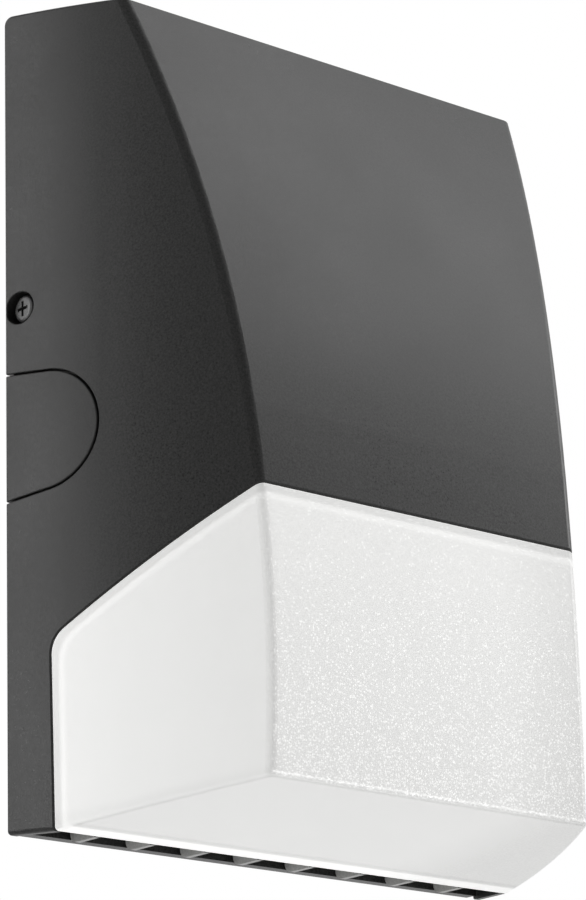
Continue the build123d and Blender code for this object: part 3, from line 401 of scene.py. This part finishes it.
STEEL = (0.58, 0.58, 0.57)
FINISHES = {
    "housing_coat": lambda look: powder_coat("housing_coat", look.coat, FIN_PAINTED_LIGHT),
    "plate_coat": lambda look: powder_coat("plate_coat", look.coat),
    "lens_frosted": lambda look: frosted_lens("lens_frosted", look.lens),
    "foam": lambda look: foam("foam", (0.05, 0.05, 0.05)),
    "silicone": lambda look: moulded("silicone", (0.72, 0.72, 0.70), 0.55),
    "black_rubber": lambda look: moulded("black_rubber", (0.025, 0.025, 0.025), 0.7),
    "zinc_steel": lambda look: plain_metal("zinc_steel", STEEL, 0.32),
    "dark_screw_steel": lambda look: plain_metal(
        "dark_screw_steel", (0.10, 0.10, 0.10), 0.30, metallic=0.3),
    "green_screw_steel": lambda look: plain_metal("green_screw_steel", (0.03, 0.28, 0.08), 0.3),
    "white_reflector": lambda look: moulded("white_reflector", (0.86, 0.86, 0.85), 0.5),
    "board_white": lambda look: moulded("board_white", (0.80, 0.81, 0.80), 0.35, 0.8 * MM),
    "chip_yellow": lambda look: moulded("chip_yellow", (0.80, 0.62, 0.12), 0.3, 0.2 * MM),
    "thermal_grey": lambda look: moulded("thermal_grey", (0.30, 0.36, 0.42), 0.8),
    "connector_white": lambda look: moulded("connector_white", (0.80, 0.79, 0.74), 0.4),
    "driver_aluminium": lambda look: plain_metal(
        "driver_aluminium", (0.55, 0.56, 0.57), 0.38, 0.25 * MM, (1.0, 12.0, 12.0)),
    "black_plastic": lambda look: moulded("black_plastic", (0.02, 0.02, 0.02), 0.5),
    "terminal_grey": lambda look: moulded("terminal_grey", (0.42, 0.43, 0.44), 0.45),
    "brass_screw": lambda look: plain_metal("brass_screw", (0.72, 0.50, 0.20), 0.3),
    "lead_black": lambda look: moulded("lead_black", (0.015, 0.015, 0.015), 0.45),
    "lead_white": lambda look: moulded("lead_white", (0.75, 0.75, 0.73), 0.45),
    "lead_green": lambda look: moulded("lead_green", (0.02, 0.25, 0.06), 0.45),
    "lead_red": lambda look: moulded("lead_red", (0.42, 0.02, 0.02), 0.45),
}


# ---------------------------------------------------------------- operators
class WALLPACK_OT_finishes(bpy.types.Operator):
    """Give every CAD piece the finish that the record names for it"""

    bl_idname = "wallpack.finishes"
    bl_label = "Finishes"

    def execute(self, context):
        look = context.scene.wallpack_finish
        made = {}
        for row in frame["record"]["subparts"]:
            slot = row["material_slot"]
            if slot not in made:
                made[slot] = FINISHES[slot](look)
            node = frame["nodes"][row["node"]]
            node.data.materials.clear()
            node.data.materials.append(made[slot])
        return {"FINISHED"}


class WALLPACK_OT_studio(bpy.types.Operator):
    """Make the floor, the soft lights, the white surroundings and the camera"""

    bl_idname = "wallpack.studio"
    bl_label = "Studio"

    def execute(self, context):
        studio = context.scene.wallpack_studio
        make_floor(studio.floor)
        make_lights()
        make_surroundings(context.scene)
        make_camera(context.scene, studio)
        context.scene.view_settings.view_transform = "Standard"
        return {"FINISHED"}


def seen_share(tree):
    """1 for camera, glossy and transmission rays, which see the pale surroundings."""
    path = tree.nodes.new("ShaderNodeLightPath")
    share = path.outputs["Is Camera Ray"]
    for ray in ("Is Glossy Ray", "Is Transmission Ray"):
        either = tree.nodes.new("ShaderNodeMath")
        either.operation = "MAXIMUM"
        tree.links.new(share, either.inputs[0])
        tree.links.new(path.outputs[ray], either.inputs[1])
        share = either.outputs[0]
    return share


def make_floor(height):
    """Pale paper, with a paleness of its own where it is seen, so that its far parts are pale."""
    signs = ((-1, -1), (1, -1), (1, 1), (-1, 1))
    mesh = bpy.data.meshes.new("floor")
    mesh.from_pydata([(x * FLOOR_HALF, y * FLOOR_HALF, height) for x, y in signs], [], [(0, 1, 2, 3)])
    floor = bpy.data.objects.new("floor", mesh)
    bpy.context.scene.collection.objects.link(floor)
    paper = Finish("floor_paper")
    fibre = paper.noise(3 * MM, detail=2.0)
    paper.set(Base_Color=paper.blend(fibre, (0.90, 0.90, 0.90), (0.94, 0.94, 0.94)), Roughness=0.9)
    paper.set(Emission_Color=(1, 1, 1, 1))
    paper.set(Emission_Strength=paper.math("MULTIPLY", seen_share(paper.tree), FLOOR_GLOW))
    mesh.materials.append(paper.material)


# name: (bearing from the left towards the front, elevation, width, height, watts)
LIGHTS = {
    "left_strip": (-22, 10, 0.4, 1.6, 18.0),
    "far_left": (-65, 15, 0.8, 0.8, 4.1),
    "low_left": (19, -41, 0.22, 0.22, 1.2),
    "right_high": (150, 60, 0.8, 0.8, 5.0),
    "right_front": (140, 40, 0.8, 0.8, 9.0),
    "right_low": (155, 15, 0.6, 1.2, 16.8),
    "right_side": (172, 35, 0.8, 0.8, 1.7),
    "rear": (-100, 40, 1.6, 1.6, 7.0),
}
LIGHT_DISTANCE, LIGHT_MIDDLE = 2.2, (0, -0.04, 0)


def make_lights():
    """Soft panels on a sphere round the wall pack, all turned to its middle."""
    middle = Vector(LIGHT_MIDDLE)
    for name, (bearing, elevation, width, height, watts) in LIGHTS.items():
        data = bpy.data.lights.new(name, "AREA")
        data.shape, data.size, data.size_y, data.energy = "RECTANGLE", width, height, watts
        lamp = bpy.data.objects.new(name, data)
        turn, tilt = radians(bearing), radians(elevation)
        away = Vector((-cos(turn) * cos(tilt), -sin(turn) * cos(tilt), sin(tilt)))
        lamp.location = away * LIGHT_DISTANCE
        lamp.rotation_euler = (middle - lamp.location).to_track_quat("-Z", "Y").to_euler()
        bpy.context.scene.collection.objects.link(lamp)


def make_surroundings(scene):
    """White for camera, glossy and transmission rays, black for light."""
    world = bpy.data.worlds.new("studio")
    world.use_nodes = True
    tree = world.node_tree
    tree.nodes.clear()
    seen = tree.nodes.new("ShaderNodeBackground")
    seen.inputs["Color"].default_value = (1, 1, 1, 1)
    lit = tree.nodes.new("ShaderNodeBackground")
    lit.inputs["Color"].default_value = (0, 0, 0, 1)
    mix = tree.nodes.new("ShaderNodeMixShader")
    output = tree.nodes.new("ShaderNodeOutputWorld")
    tree.links.new(seen_share(tree), mix.inputs[0])
    tree.links.new(lit.outputs[0], mix.inputs[1])
    tree.links.new(seen.outputs[0], mix.inputs[2])
    tree.links.new(mix.outputs[0], output.inputs[0])
    scene.world = world


def make_camera(scene, studio):
    """Camera at the photograph's place: heading, then pitch, then roll about its own axis."""
    data = bpy.data.cameras.new("camera")
    data.sensor_fit, data.sensor_height, data.lens = "VERTICAL", 36.0, studio.lens
    data.clip_start = 0.05
    turn = (Matrix.Rotation(-studio.heading, 4, "Z")
            @ Matrix.Rotation(radians(90) + studio.pitch, 4, "X")
            @ Matrix.Rotation(-studio.roll, 4, "Z"))
    back = turn.to_3x3() @ Vector((0, 0, 1))
    camera = bpy.data.objects.new("camera", data)
    camera.matrix_world = Matrix.Translation(Vector(studio.aim) + back * studio.distance) @ turn
    scene.collection.objects.link(camera)
    scene.camera = camera


class WALLPACK_PT_panel(bpy.types.Panel):
    """Wall pack light"""

    bl_idname = "WALLPACK_PT_panel"
    bl_label = "Wall pack light"
    bl_space_type = "VIEW_3D"
    bl_region_type = "UI"
    bl_category = "Wall pack light"

    def draw(self, context):
        for settings in (context.scene.wallpack_finish, context.scene.wallpack_studio):
            for key in settings.__annotations__:
                self.layout.prop(settings, key)
        for step in STEPS:
            self.layout.operator(step.bl_idname)


SETTINGS = {"wallpack_finish": WallPackFinish, "wallpack_studio": WallPackStudio}
STEPS = (WALLPACK_OT_finishes, WALLPACK_OT_studio)


def register():
    for cls in (*SETTINGS.values(), *STEPS, WALLPACK_PT_panel):
        bpy.utils.register_class(cls)
    for key, cls in SETTINGS.items():
        setattr(bpy.types.Scene, key, bpy.props.PointerProperty(type=cls))


def unregister():
    for key in SETTINGS:
        delattr(bpy.types.Scene, key)
    for cls in (WALLPACK_PT_panel, *reversed(STEPS), *SETTINGS.values()):
        bpy.utils.unregister_class(cls)


def main():
    register()
    bpy.ops.wallpack.finishes()
    bpy.ops.wallpack.studio()


if __name__ == "__main__":
    main()
